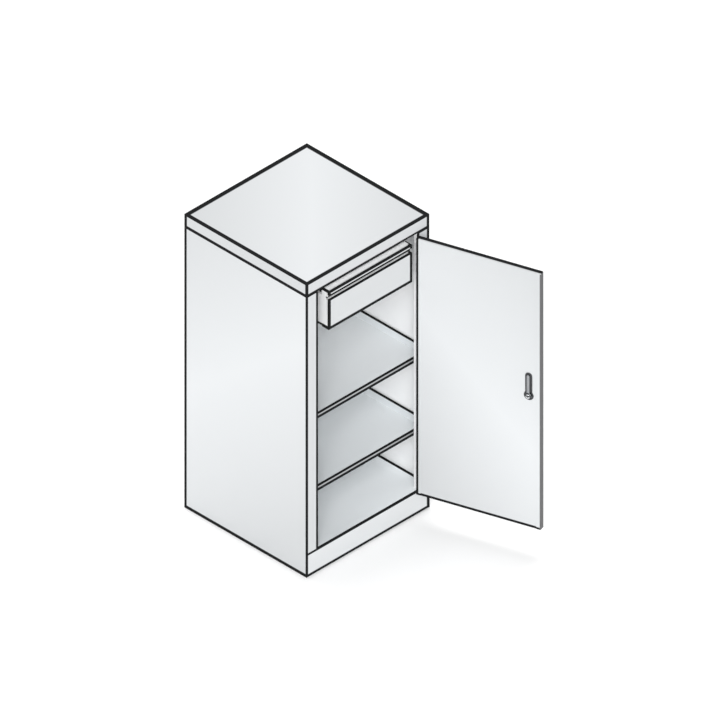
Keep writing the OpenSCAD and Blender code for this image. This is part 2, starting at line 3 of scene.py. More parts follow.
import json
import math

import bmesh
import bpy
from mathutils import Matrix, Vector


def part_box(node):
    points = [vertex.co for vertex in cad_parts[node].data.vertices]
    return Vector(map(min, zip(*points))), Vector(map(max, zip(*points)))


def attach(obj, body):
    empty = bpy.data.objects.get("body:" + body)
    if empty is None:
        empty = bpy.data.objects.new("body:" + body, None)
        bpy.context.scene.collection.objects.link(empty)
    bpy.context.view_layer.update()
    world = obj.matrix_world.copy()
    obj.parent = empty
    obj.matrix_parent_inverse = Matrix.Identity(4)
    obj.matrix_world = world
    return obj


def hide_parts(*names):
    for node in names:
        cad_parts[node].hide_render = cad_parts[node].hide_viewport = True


bl_info = {
    "name": "Steel storage cabinet",
    "version": (1, 0, 0),
    "blender": (4, 5, 0),
    "location": "3D View > Sidebar > Cabinet",
    "description": "Dresses a folded-steel storage cabinet with its finishes, fasteners and lock",
    "category": "Object",
}

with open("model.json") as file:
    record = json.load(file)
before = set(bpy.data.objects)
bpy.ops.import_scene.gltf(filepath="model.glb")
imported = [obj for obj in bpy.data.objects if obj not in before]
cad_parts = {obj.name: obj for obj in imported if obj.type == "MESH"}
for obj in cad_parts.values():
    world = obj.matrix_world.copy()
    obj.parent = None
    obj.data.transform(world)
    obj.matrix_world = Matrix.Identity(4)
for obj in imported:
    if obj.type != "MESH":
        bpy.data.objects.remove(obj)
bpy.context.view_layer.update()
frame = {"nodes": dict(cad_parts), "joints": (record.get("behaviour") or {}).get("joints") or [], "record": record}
JOINTS = {joint["name"]: joint for joint in frame["joints"]}


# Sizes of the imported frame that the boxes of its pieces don't tell, in metres

POST = 0.047             # width of a side panel's front post
SHELF_STRIP = 0.018      # from the foot of a shelf's front strip up to its plate
GRIP_LIP = 0.013         # lip of the drawer front, down from its top
GROOVE_FLOOR = 0.027     # floor of the finger groove, down from the same top
GROOVE_DEPTH = 0.010     # from the drawer's face back to the groove's wall
DOOR_SHEET = 0.001
HINGE_SHEET = 0.002
BRACKET_SHEET = 0.0015
BRACKET_RIVET = 0.009    # a bracket's rivet, up from the bracket's foot


# Painted sheen: light bands painted into the coat's colour, each a direction over the sheet, a middle and a reach
# along it

WALL_BAND = (0, 0.62, 0.785), 0.4806, 0.50
COVER_BAND = (1, -1, 0), 0.02, 0.47
DOOR_BAND = (-0.727, 0, 0.687), 0.367, 0.41
PLATE_BAND = (1, -1, 0), 0.457, 0.46
# the cross bands paint light over the floor panel and the shelves, where shade falls on them
FLOOR_CROSS_BAND = (0, 1, 0), -0.05, 0.18
SHELF_CROSS_BAND = (0, 1, 0), 0.03, 0.24
WHOLE_PLATE = (0, 1, 0), 0.0, 100.0         # so wide that it covers a shelf's plate evenly


# How much lighter or darker a place is painted than the coat's own colour, as painted light and shade

PAINTED_BAND_SHADE = 1.19
# painted light on the plinth, the shelves' rims and the drawer's lining; painted shade on the floor panel, the
# shelves' plates and the finger groove
PLINTH_SHADE = 1.13
FLOOR_SHADE = 0.90
SHELF_SHADE = 0.81
SHELF_RIM_SHADE = 1.04
SHELF_BAND_SHADE = 0.93
DRAWER_SHADE = 0.83
GROOVE_SHADE = 0.55


# Sizes of the lock's pieces that only this scene models, in metres

ROSE_HOLE = 0.0062       # radius of the hole in the handle's rose
CASE_HOLE = 0.0065       # radius of the hole in the lock case
SLOT_TOP = 0.0038        # slot of the latch's screw, up from the lock's axis
SLOT_FOOT = -0.0005      # the same slot's lower side


# Limits that the finishes and shapes share, in metres

TINY = 1e-6                     # a difference that doesn't count
FAR = 99.0                      # a place that nothing reaches
BEHIND_FACE = 0.0004, 0.0007    # depth behind the outer faces where a lining starts and is full
OFF_FACE = 0.0005, 0.0012       # distance from its face where a light band fades and ends


# Sizes and colours that a user would change

COLOR = {"subtype": "COLOR", "size": 3, "min": 0, "max": 1}


class CabinetFinish(bpy.types.PropertyGroup):
    """Colours and surface of the cabinet's finishes, some with painted light and shade in them"""

    coat: bpy.props.FloatVectorProperty(
        name="Powder coat", description="Colour of the powder coat outside",
        default=(0.530, 0.543, 0.552), **COLOR)
    # the door's coat is the body's coat painted a shade darker, as painted shade where the door faces the light
    coat_door: bpy.props.FloatVectorProperty(
        name="Powder coat of the door", description="Colour of the powder coat on the door",
        default=(0.522, 0.535, 0.544), **COLOR)
    # a lighter coat inside the cabinet, made lighter still as painted light in the shaded interior
    coat_inside: bpy.props.FloatVectorProperty(
        name="Powder coat inside", description="Colour of the powder coat on the inner sheets",
        default=(0.960, 0.966, 0.972), **COLOR)
    coat_shelf: bpy.props.FloatVectorProperty(
        name="Powder coat of the shelves", description="Colour of the coat on shelves and floor panel",
        default=(0.722, 0.750, 0.768), **COLOR)
    # painted light: the colour that the light bands paint on the shelves and the floor panel
    coat_glow: bpy.props.FloatVectorProperty(
        name="Light bands", description="Colour of the light bands on shelves and floor panel",
        default=(0.935, 0.968, 0.985), **COLOR)
    # painted shade: the shelves' front strips are painted darker than the shelf coat
    coat_edge: bpy.props.FloatVectorProperty(
        name="Shelf edge", description="Colour of the shelves' folded edges",
        default=(0.360, 0.368, 0.376), **COLOR)
    zinc: bpy.props.FloatVectorProperty(
        name="Zinc plate", description="Colour of the plated fittings",
        default=(0.66, 0.67, 0.67), **COLOR)
    latch_steel: bpy.props.FloatVectorProperty(
        name="Latch steel", description="Colour of the latch cam's dull plating",
        default=(0.36, 0.365, 0.37), **COLOR)
    black_zinc: bpy.props.FloatVectorProperty(
        name="Black zinc", description="Colour of the plating on the spindle and the washer",
        default=(0.030, 0.031, 0.034), **COLOR)
    worn_zinc: bpy.props.FloatVectorProperty(
        name="Worn black zinc", description="Colour of the specks where the black zinc has worn",
        default=(0.16, 0.16, 0.165), **COLOR)
    chrome: bpy.props.FloatVectorProperty(
        name="Satin chrome", description="Colour of the lock plug",
        default=(0.74, 0.74, 0.75), **COLOR)
    chrome_haze: bpy.props.FloatVectorProperty(
        name="Chrome haze", description="Colour of the dull patches on the lock plug",
        default=(0.60, 0.60, 0.61), **COLOR)
    nylon: bpy.props.FloatVectorProperty(
        name="Black nylon", description="Colour of the lock's moulded pieces",
        default=(0.018, 0.019, 0.021), **COLOR)
    roller: bpy.props.FloatVectorProperty(
        name="Roller nylon", description="Colour of the drawer's rollers",
        default=(0.80, 0.79, 0.74), **COLOR)
    rubber: bpy.props.FloatVectorProperty(
        name="Rubber", description="Colour of the door's buffers",
        default=(0.022, 0.022, 0.022), **COLOR)
    peel: bpy.props.FloatProperty(
        name="Orange peel", description="Width of the ripples in the powder coat",
        unit="LENGTH", min=0.0005, max=0.01, default=0.0024)
    gloss: bpy.props.FloatProperty(
        name="Coat roughness", description="Roughness of the powder coat",
        subtype="FACTOR", min=0, max=1, default=0.46)
    # the dark lines are painted: painted shadow at seams and in the finger groove, painted outlines along the
    # other folds and edges
    upright_line: bpy.props.FloatProperty(
        name="Line at upright folds", description="Reach of the dark line from an upright fold or edge",
        unit="LENGTH", min=0.0, max=0.01, default=0.0058)
    flat_line: bpy.props.FloatProperty(
        name="Line on level sheets", description="Reach of the dark line over a level sheet from its edge",
        unit="LENGTH", min=0.0, max=0.02, default=0.0084)
    wall_line: bpy.props.FloatProperty(
        name="Line on upright sheets", description="Reach of the dark line up or down an upright sheet",
        unit="LENGTH", min=0.0, max=0.01, default=0.0050)
    line: bpy.props.FloatVectorProperty(
        name="Line colour", description="Colour of the dark lines along folds and cut edges",
        default=(0.010, 0.0105, 0.011), **COLOR)
    seal: bpy.props.FloatVectorProperty(
        name="Door seal", description="Colour of the thin seal on the door's free edge",
        default=(0.100, 0.101, 0.104), **COLOR)


class CabinetFittings(bpy.types.PropertyGroup):
    """Sizes of the small fittings that the frame leaves to this scene"""

    rivet_radius: bpy.props.FloatProperty(
        name="Rivet radius", description="Radius of the blind rivets' heads",
        unit="LENGTH", min=0.001, max=0.006, default=0.0034)
    rivet_height: bpy.props.FloatProperty(
        name="Rivet height", description="Height of the blind rivets' heads",
        unit="LENGTH", min=0.0004, max=0.002, default=0.0011)
    rivet_pitch: bpy.props.FloatProperty(
        name="Rivet pitch", description="Largest distance between two rivets in a row",
        unit="LENGTH", min=0.03, max=0.4, default=0.16)
    rivet_inset: bpy.props.FloatProperty(
        name="Rivet inset", description="From the cabinet's side to the rivets of the back panel",
        unit="LENGTH", min=0.004, max=0.02, default=0.0095)
    screw_radius: bpy.props.FloatProperty(
        name="Screw radius", description="Radius of the hinge screws' heads",
        unit="LENGTH", min=0.002, max=0.005, default=0.004)
    screw_height: bpy.props.FloatProperty(
        name="Screw height", description="Height of the hinge screws' heads",
        unit="LENGTH", min=0.001, max=0.003, default=0.0018)
    screw_recess: bpy.props.FloatProperty(
        name="Screw recess", description="Reach of the cross recess in a hinge screw",
        unit="LENGTH", min=0.0005, max=0.004, default=0.0024)
    grip_depth: bpy.props.FloatProperty(
        name="Grip depth", description="Depth of the turn handle's wing grip",
        unit="LENGTH", min=0.010, max=0.018, default=0.015)
    hub_radius: bpy.props.FloatProperty(
        name="Hub radius", description="Radius of the turn handle's round hub",
        unit="LENGTH", min=0.012, max=0.02, default=0.017)
    plug_rim: bpy.props.FloatProperty(
        name="Plug rim", description="Outer radius of the rim round the lock plug",
        unit="LENGTH", min=0.008, max=0.012, default=0.0098)
    handle_edge: bpy.props.FloatProperty(
        name="Handle edge", description="Radius of the soft edges of the turn handle",
        unit="LENGTH", min=0.0005, max=0.006, default=0.0032)


class CabinetStudio(bpy.types.PropertyGroup):
    """Floor, light and camera"""

    floor_size: bpy.props.FloatProperty(
        name="Floor size", description="Side of the square floor",
        unit="LENGTH", min=4, max=60, default=24)
    floor: bpy.props.FloatVectorProperty(
        name="Floor", description="Colour of the floor",
        default=(0.96, 0.96, 0.96), **COLOR)
    sky: bpy.props.FloatProperty(
        name="Dome light", description="Strength of the light from all sides",
        min=0, max=4, default=0.58)
    key: bpy.props.FloatProperty(
        name="Key light", description="Strength of the broad light at the front left",
        min=0, max=20, default=2.05)
    top: bpy.props.FloatProperty(
        name="Top light", description="Strength of the broad light from above",
        min=0, max=20, default=1.3)
    fill: bpy.props.FloatProperty(
        name="Fill light", description="Strength of the weak light from low at the front",
        min=0, max=20, default=0.60)
    spread: bpy.props.FloatProperty(
        name="Light spread", description="Angle that each light fills in the sky, for soft shadows",
        subtype="ANGLE", default=math.radians(32))
    distance: bpy.props.FloatProperty(
        name="Camera distance", description="From the camera to its target",
        unit="LENGTH", min=2, max=30, default=6)
    azimuth: bpy.props.FloatProperty(
        name="Camera azimuth", description="Direction that the camera stands in, from the front",
        subtype="ANGLE", default=math.radians(-45))
    elevation: bpy.props.FloatProperty(
        name="Camera elevation", description="Height angle of the camera",
        subtype="ANGLE", default=math.atan(math.sqrt(0.5)))
    view_width: bpy.props.FloatProperty(
        name="View width", description="Width that the camera sees",
        unit="LENGTH", min=0.5, max=6, default=2.072)
    target: bpy.props.FloatVectorProperty(
        name="Camera target", description="Point in the middle of the picture",
        subtype="TRANSLATION", size=3, default=(0.1082, -0.1082, 0.5182))


# Shader arithmetic

class Reading:
    """A number in a material's node tree that can be added, multiplied and compared."""

    def __init__(self, recipe, socket):
        self.recipe, self.socket = recipe, socket

    def _math(self, operation, *values):
        made = self.recipe.node("ShaderNodeMath", {"operation": operation}, dict(enumerate(values)))
        return Reading(self.recipe, made.outputs[0])

    def __add__(self, other):
        return self._math("ADD", self, other)

    __radd__ = __add__

    def __sub__(self, other):
        return self._math("SUBTRACT", self, other)

    def __rsub__(self, other):
        return self._math("SUBTRACT", other, self)

    def __mul__(self, other):
        return self._math("MULTIPLY", self, other)

    __rmul__ = __mul__

    def __truediv__(self, other):
        return self._math("DIVIDE", self, other)

    def __rtruediv__(self, other):
        return self._math("DIVIDE", other, self)

    def sine(self):
        return self._math("SINE", self)

    def least(self, other):
        return self._math("MINIMUM", self, other)

    def most(self, other):
        return self._math("MAXIMUM", self, other)

    def off(self, place):
        """How far the number is from a fixed one"""
        return self._math("ABSOLUTE", self - place)

    def between(self, low, high):
        """0 below low, 1 above high and a soft step between them"""
        made = self.recipe.node("ShaderNodeMapRange", {"interpolation_type": "SMOOTHSTEP"},
                                {0: self, 1: low, 2: high, 3: 0.0, 4: 1.0})
        return Reading(self.recipe, made.outputs[0])


class Recipe:
    """A material and the one method that adds nodes to it."""

    def __init__(self, name):
        self.material = bpy.data.materials.new(name)
        self.material.use_nodes = True
        self.tree = self.material.node_tree
        self.tree.nodes.clear()
        self.place = self.read("ShaderNodeTexCoord", output="Object")

    def node(self, kind, settings=None, values=None):
        """Adds a node: its type, its settings, and the values or links of its sockets"""
        made = self.tree.nodes.new(kind)
        for name, value in (settings or {}).items():
            setattr(made, name, value)
        for name, value in (values or {}).items():
            socket = made.inputs[name]
            if isinstance(value, Reading):
                self.tree.links.new(value.socket, socket)
            elif socket.type == "RGBA":
                socket.default_value = (*value, 1.0)[:4]
            else:
                socket.default_value = value
        return made

    def read(self, kind, settings=None, values=None, output=0):
        """Adds a node and gives one of its outputs"""
        return Reading(self, self.node(kind, settings, values).outputs[output])

    def noise(self, scale, detail=2.0, roughness=0.5, stretch=None):
        """A smooth random number from 0 to 1 that changes over 1/scale metres"""
        place = self.place
        if stretch:
            place = self.read("ShaderNodeVectorMath", {"operation": "MULTIPLY"}, {0: place, 1: stretch})
        return self.read("ShaderNodeTexNoise", {"noise_dimensions": "3D"},
                         {"Vector": place, "Scale": scale, "Detail": detail, "Roughness": roughness})

    def specks(self, scale):
        """A random number for each small cell"""
        cells = self.node("ShaderNodeTexVoronoi", {"feature": "F1"},
                          {"Vector": self.place, "Scale": scale})
        return self.read("ShaderNodeSeparateColor", None, {0: Reading(self, cells.outputs["Color"])})

    def axes(self, turn=None):
        """The point's X, Y and Z; turn is an axis point and an angle that it's turned back by first"""
        place = self.place
        if turn:
            place = self.read("ShaderNodeVectorRotate", {"rotation_type": "Z_AXIS"},
                              {"Vector": place, "Center": turn[0], "Angle": -turn[1]})
        parts = self.node("ShaderNodeSeparateXYZ", None, {0: place})
        return [Reading(self, output) for output in parts.outputs]

    def edge_share(self, axes, planes, folds, lines):
        """How far a point lies from the nearest edge, as a share of the line's width there. Any two planes
        of different axes meet in an edge, and so do the two places of a fold. Lines are three widths: at
        upright edges, on level sheets and on upright sheets."""
        upright, flat, wall = lines
        near = []
        for axis, stops in zip(axes, planes):
            gaps = [axis.off(place) * (1 / wide) for place, wide in stops or [(FAR, 1.0)]]
            nearest = gaps[0]
            for gap in gaps[1:]:
                nearest = nearest.least(gap)
            near.append(nearest)
        x, y, z = near
        share = (x.least(y) * (1 / flat)).most(z * (1 / wall)).least(x.most(y) * (1 / upright))
        for a, at_a, b, at_b, wide in folds:
            along = axes[a].off(at_a) * (1 / (wide * (flat if b == 2 else upright)))
            across = axes[b].off(at_b) * (1 / (wide * (wall if b == 2 else upright)))
            share = share.least(along.most(across))
        return share

    def band(self, axes, band):
        """1 along the middle of a soft painted light band and 0 past its reach, on one face of a sheet only"""
        direction, middle, reach, (side, face) = band
        along = [axis * share for axis, share in zip(axes, direction) if share]
        total = along[0]
        for more in along[1:]:
            total = total + more
        on_face = 1 - axes[side].off(face).between(*OFF_FACE)
        return (1 - total.off(middle) / reach).most(0.0) * on_face

    def tint(self, share, low, high):
        """The colour from low to high at that share"""
        return self.read("ShaderNodeMix", {"data_type": "RGBA"}, {0: share, 6: low, 7: high}, output=2)

    def bump(self, height, distance, strength, under=None):
        """The surface raised by the height, over the bumps that lie under it"""
        values = {"Height": height, "Distance": distance, "Strength": strength}
        if under:
            values["Normal"] = under
        return self.read("ShaderNodeBump", None, values)

    def surface(self, **values):
        """Closes the material with a shader; the names are its sockets, with _ for a space"""
        shader = self.node("ShaderNodeBsdfPrincipled", None, {
            name.replace("_", " "): value for name, value in values.items()})
        self.node("ShaderNodeOutputMaterial", None, {"Surface": Reading(self, shader.outputs[0])})
        return self.material


def shade(color, factor):
    """The colour made lighter or darker, as plain numbers"""
    return tuple(min(1.0, channel * factor) for channel in color)


# Finishes, each named for what it covers

def powder_coat(name, color, finish, planes=None, folds=(), turn=None, lining=None, painted_sheen=()):
    """Semi-gloss powder coat: orange peel, slow waves, a thin painted dark line along the folds and cut edges:
    painted shadow at seams and in the finger groove, and outlines elsewhere. Planes are the places of the box's
    sides for each axis, and folds are further edges inside the box. Lining is a colour and the outer faces that
    it stays behind; a lining lighter than the coat is partly painted light on shaded faces. Painted sheen lists
    the painted light bands across one face each: direction, middle and reach, that face's axis and place, and the
    band's colour where it isn't the coat's own made lighter."""
    coat = Recipe(name)
    peel = coat.noise(1 / finish.peel, detail=2.0, roughness=0.6)
    waves = coat.noise(2.6, detail=1.0, roughness=0.4)
    cloud = coat.noise(5.0, detail=3.0, roughness=0.55)
    grain = coat.specks(1400)
    axes = coat.axes(turn)
    low = 1 - coat.axes()[2].between(0.004, 0.07)
    patch = cloud * 0.55 + grain * 0.2 + low * cloud * 0.5
    pale, dull, dull_inside = 1.008, 0.985, 0.975
    base = coat.tint(patch, shade(color, pale), shade(color, dull))
    if lining:
        inner, ((left, right), (front, back)) = lining
        x, y = axes[:2]
        behind = (x.off(left).least(x.off(right))).least(y.off(front).least(y.off(back)))
        coated = coat.tint(patch, shade(inner, pale), shade(inner, dull_inside))
        base = coat.tint(behind.between(*BEHIND_FACE), base, coated)
    # each band paints its colour across one face: painted sheen, and painted shade on the shelves' plates and the
    # groove's wall
    for band in painted_sheen:
        painted_band_color = band[4] if len(band) > 4 else shade(color, PAINTED_BAND_SHADE)
        base = coat.tint(coat.band(axes, band[:4]), base, painted_band_color)
    rough = cloud * 0.08 + low * 0.06 + peel * 0.04 + (finish.gloss - 0.06)
    # painted dark lines: painted shadow at seams and in hollows, painted outlines along folds and edges
    if planes:
        ragged = coat.noise(900.0, detail=2.0) * 0.12 - 0.06
        lines = (finish.upright_line, finish.flat_line, finish.wall_line)
        line = 1 - (coat.edge_share(axes, planes, folds, lines) + ragged).between(0.82, 1.0)
        base = coat.tint(line, base, tuple(finish.line))
        rough = rough + line * 0.5
    sheet = coat.bump(waves, 0.004, 0.35)
    skin = coat.bump(peel, 0.00012, 0.28, under=sheet)
    return coat.surface(Base_Color=base, Roughness=rough, Normal=skin, Specular_IOR_Level=0.12)


def zinc_plate(name, color, finish):
    """Bright zinc: small crystals, a faint warm and cool bloom and fine drawing lines"""
    plate = Recipe(name)
    crystals = plate.specks(620)
    bloom = plate.noise(38.0, detail=3.0)
    lines = plate.noise(900.0, detail=1.0, stretch=(0.04, 0.04, 1.0))
    cool = plate.tint(bloom, shade(color, 1.05), (color[0] * 0.90, color[1] * 0.93, color[2] * 0.99))
    base = plate.tint(crystals * 0.35, cool, shade(color, 0.82))
    rough = crystals * 0.10 + bloom * 0.14 + lines * 0.05 + 0.22
    skin = plate.bump(crystals * 0.4 + lines * 0.6, 0.00004, 0.5)
    return plate.surface(Base_Color=base, Metallic=1.0, Roughness=rough, Normal=skin)


def moulded_nylon(name, color, finish):
    """Black nylon with a fine spark-eroded grain, a little polished where hands reach it"""
    nylon = Recipe(name)
    grain = nylon.noise(2600.0, detail=2.0, roughness=0.7)
    rub = nylon.noise(70.0, detail=2.0)
    base = nylon.tint(grain * 0.7 + rub * 0.3, shade(color, 0.8), shade(color, 1.9))
    rough = grain * 0.12 + (1 - rub) * 0.14 + 0.34
    skin = nylon.bump(grain, 0.00006, 0.6)
    return nylon.surface(Base_Color=base, Roughness=rough, Normal=skin)


def black_plate(name, color, finish):
    """Black zinc on the spindle and the washer, worn to grey in specks"""
    plate = Recipe(name)
    wear = plate.noise(420.0, detail=3.0).between(0.58, 0.72)
    base = plate.tint(wear * 0.5, color, tuple(finish.worn_zinc))
    rough = wear * 0.12 + 0.30
    return plate.surface(Base_Color=base, Metallic=0.85, Roughness=rough,
                         Normal=plate.bump(wear, 0.00005, 0.4))


def lock_chrome(name, color, finish):
    """Satin chrome with the fine rings of its turning"""
    chrome = Recipe(name)
    centre = Vector(JOINTS["lock_turn"]["pos_m"])
    axis = Vector(JOINTS["lock_turn"]["axis"])
    arm = chrome.read("ShaderNodeVectorMath", {"operation": "SUBTRACT"}, {0: chrome.place, 1: centre})
    across = chrome.read("ShaderNodeVectorMath", {"operation": "CROSS_PRODUCT"}, {0: arm, 1: axis})
    radius = Reading(chrome, chrome.node("ShaderNodeVectorMath", {"operation": "LENGTH"},
                                         {0: across}).outputs["Value"])
    rings = (radius * 16000.0).sine() * 0.5 + 0.5
    haze = chrome.noise(240.0, detail=2.0)
    base = chrome.tint(haze * 0.5, color, tuple(finish.chrome_haze))
    return chrome.surface(Base_Color=base, Metallic=1.0, Roughness=rings * 0.08 + haze * 0.08 + 0.14,
                          Normal=chrome.bump(rings, 0.00003, 0.35))


def roller_nylon(name, color, finish):
    """Natural nylon, greyed where the roller runs on its rail"""
    nylon = Recipe(name)
    cloud = nylon.noise(160.0, detail=3.0)
    base = nylon.tint(cloud * 0.6, color, (color[0] * 0.80, color[1] * 0.79, color[2] * 0.76))
    return nylon.surface(Base_Color=base, Roughness=cloud * 0.12 + 0.36, Subsurface_Weight=0.08,
                         Subsurface_Radius=(0.002, 0.0018, 0.0014),
                         Normal=nylon.bump(nylon.noise(1500.0), 0.00005, 0.3))


def buffer_rubber(name, color, finish):
    """Matt black rubber with a dusty bloom"""
    rubber = Recipe(name)
    bloom = rubber.noise(300.0, detail=3.0)
    base = rubber.tint(bloom * 0.5, color, tuple(channel * 1.2 + 0.02 for channel in color))
    return rubber.surface(Base_Color=base, Roughness=bloom * 0.12 + 0.72,
                          Normal=rubber.bump(bloom, 0.00008, 0.5))


def rubber_seal():
    """Dark grey rubber of the seal on the door's free edge"""
    finish = bpy.context.scene.cabinet_finish
    return buffer_rubber("door_seal_finish", tuple(finish.seal), finish)


def studio_floor(name, color, finish):
    """Pale seamless floor with the faint mottle of rolled paper"""
    paper = Recipe(name)
    mottle = paper.noise(3.0, detail=4.0)
    base = paper.tint(mottle * 0.3, color, shade(color, 0.985))
    return paper.surface(Base_Color=base, Roughness=mottle * 0.1 + 0.7)


FINISHES = {
    "powder_coat": (powder_coat, "coat"),
    "powder_coat_inner": (powder_coat, "coat_inside"),
    "hinge_steel": (powder_coat, "coat"),
    "zinc_plate": (zinc_plate, "zinc"),
    "black_nylon": (moulded_nylon, "nylon"),
    "black_zinc": (black_plate, "black_zinc"),
    "lock_chrome": (lock_chrome, "chrome"),
    "roller_nylon": (roller_nylon, "roller"),
    "buffer_rubber": (buffer_rubber, "rubber"),
}


def finish_for(slot):
    """The material of one of the record's slots, made the first time it is asked for"""
    found = bpy.data.materials.get(slot + "_finish")
    if found:
        return found
    make, color = FINISHES[slot]
    finish = bpy.context.scene.cabinet_finish
    return make(slot + "_finish", tuple(getattr(finish, color)), finish)


def slot_of(name):
    """The slot that the record gives a node"""
    return next(part["material_slot"] for part in frame["record"]["subparts"] if part["node"] == name)


def give(name, material):
    """Puts the material, and nothing else, on one of the frame's own pieces"""
    piece = frame["nodes"][name]
    piece.data.materials.clear()
    piece.data.materials.append(material)


def coat_nodes(names):
    """Gives the frame's own pieces the finish of their slot in the record"""
    for name in names:
        give(name, finish_for(slot_of(name)))


def coat_sheet(name, folds=(), turn=None, lining=None, painted_sheen=(), color=None, wide=None):
    """Gives a folded sheet its own powder coat, with painted dark lines along its box's edges and its folds:
    painted shadow at seams and outlines elsewhere. Wide gives, for sides of the box, how wide their lines are,
    where 1 is usual and 0 leaves them out."""
    finish = bpy.context.scene.cabinet_finish
    color = color or tuple(getattr(finish, FINISHES[slot_of(name)][1]))
    wide = wide or {"x1": 1.8, "y1": 1.8, "z0": 1.8}
    planes = []
    for axis, ends in zip("xyz", zip(*reach(name, turn))):
        sides = [(place, wide.get(axis + end, 1.0)) for end, place in zip("01", ends)]
        planes.append([(place, factor) for place, factor in sides if factor])
    give(name, powder_coat(name + "_coat", color, finish, planes, folds, turn, lining, painted_sheen))


# Places

def corners(points):
    """The lowest and the highest corner of the points"""
    return (Vector([min(point[i] for point in points) for i in range(3)]),
            Vector([max(point[i] for point in points) for i in range(3)]))


def reach(name, turn=None):
    """A node's lowest and highest corner, after it is turned back"""
    if not turn:
        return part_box(name)
    back = Matrix.Translation(turn[0]) @ Matrix.Rotation(-turn[1], 4, "Z") @ Matrix.Translation(-turn[0])
    return corners([back @ vert.co for vert in frame["nodes"][name].data.vertices])


def door_turn():
    """The hinge axis, and how far the door stands open"""
    return Vector(JOINTS["door_swing"]["pos_m"]), math.radians(-JOINTS["door_swing"]["range_deg"][0])


def door_place():
    """Turns a piece drawn on the closed door to where the open door stands"""
    hinge, angle = door_turn()
    return Matrix.Translation(hinge) @ Matrix.Rotation(angle, 4, "Z") @ Matrix.Translation(-hinge)


def lock_place():
    """The lock's axis on the open door: Z points out of the door and Y up"""
    out = Vector(JOINTS["handle_turn"]["axis"]).normalized()
    up = Vector((0, 0, 1))
    turn = Matrix((up.cross(out), up, out)).transposed().to_4x4()
    return Matrix.Translation(Vector(JOINTS["handle_turn"]["pos_m"])) @ turn


def lock_reach(name, beyond=-1.0):
    """The lowest and highest corner, in the lock's own axes, of the node's points beyond that height"""
    away = lock_place().inverted()
    points = [away @ vert.co for vert in frame["nodes"][name].data.vertices]
    return corners([point for point in points if point.y > beyond])


def facing(point, direction):
    """A place at the point whose Z axis looks in the direction"""
    turn = Vector(direction).to_track_quat("Z", "Y").to_matrix().to_4x4()
    return Matrix.Translation(Vector(point)) @ turn


def spread(low, high, pitch):
    """Evenly spaced places from low to high, no further apart than the pitch"""
    count = max(1, math.ceil((high - low) / pitch))
    return [low + (high - low) * n / count for n in range(count + 1)]


# Shaping

def turned(bm, rings, segments, place=Matrix()):
    """Raises a skin through rings, each a height and a radius or a function of the angle, and closes it"""
    ring = bmesh.ops.create_circle(bm, cap_ends=False, segments=segments, radius=1.0)["verts"]
    edges = list({edge for vert in ring for edge in vert.link_edges})
    foot, everything = edges, []
    for step, (height, radius) in enumerate(rings):
        if step:
            grown = bmesh.ops.extrude_edge_only(bm, edges=edges)["geom"]
            ring = [item for item in grown if isinstance(item, bmesh.types.BMVert)]
            edges = [item for item in grown if isinstance(item, bmesh.types.BMEdge)
                     and item.verts[0] in ring and item.verts[1] in ring]
        for vert in ring:
            angle = math.atan2(vert.co.y, vert.co.x)
            out = radius(angle) if callable(radius) else radius
            vert.co = (math.cos(angle) * out, math.sin(angle) * out, height)
        everything += ring
    bmesh.ops.edgeloop_fill(bm, edges=foot)
    bmesh.ops.edgeloop_fill(bm, edges=edges)
    bmesh.ops.transform(bm, matrix=place, verts=everything)
    return everything


def cross(length, width):
    """The outline of a cross recess, as a radius for each angle, from the halves of its size"""
    def radius(angle):
        along, side = sorted((abs(math.cos(angle)), abs(math.sin(angle))), reverse=True)
        return min(length / along, width / max(side, TINY))
    return radius


def slit(length, width):
    """The outline of an upright keyway, as a radius for each angle, from the halves of its size"""
    def radius(angle):
        return min(length / max(abs(math.sin(angle)), TINY), width / max(abs(math.cos(angle)), TINY))
    return radius


def block(bm, low, high):
    """A box between two corners"""
    low, high = Vector(low), Vector(high)
    place = Matrix.Translation((low + high) / 2) @ Matrix.Diagonal((*(high - low), 1.0))
    return bmesh.ops.create_cube(bm, size=1.0, matrix=place)["verts"]


def sharp_rim(bm, top=FAR):
    """The sharp edges of the shape's level outlines, below the top"""
    return [edge for edge in bm.edges if edge.calc_face_angle(0) > 1.0
            and abs(edge.verts[0].co.z - edge.verts[1].co.z) < TINY and edge.verts[0].co.z < top]


def round_off(bm, edges, radius, segments):
    """Rounds the edges off in so many steps"""
    bmesh.ops.bevel(bm, geom=edges, offset=radius, segments=segments, affect="EDGES",
                    profile=0.5, material=-1, clamp_overlap=True, offset_type="OFFSET")


def round_ends(bm, bar, width, beyond=-FAR, segments=12):
    """Rounds a bar's edges along Z, those past that place on Y, off to all but a half circle"""
    edges = {edge for vert in bar for edge in vert.link_edges if vert.co.y > beyond}
    along = [edge for edge in edges
             if abs((edge.verts[1].co - edge.verts[0].co).normalized().z) > 0.999]
    round_off(bm, along, width / 2 * 0.98, segments)


def cut_off(bm, verts, place, direction):
    """Cuts these vertices' shape along a plane, keeps what the direction points to and closes the cut"""
    edges = list({edge for vert in verts for edge in vert.link_edges})
    faces = list({face for vert in verts for face in vert.link_faces})
    cut = bmesh.ops.bisect_plane(bm, geom=[*verts, *edges, *faces], plane_co=place, plane_no=direction,
                                 clear_inner=True)["geom_cut"]
    bmesh.ops.edgeloop_fill(bm, edges=[item for item in cut if isinstance(item, bmesh.types.BMEdge)])


def rivet(bm, fittings, place):
    """A blind rivet: domed head with the hollow that its broken stem leaves"""
    radius, height, sunk = fittings.rivet_radius, fittings.rivet_height, 0.0002
    dome = [(0.25, 1), (0.62, 0.86), (0.92, 0.60), (1, 0.42), (0.9, 0.34), (0.45, 0.32)]
    turned(bm, [(-sunk, radius)] + [(height * up, radius * out) for up, out in dome], 16, place)


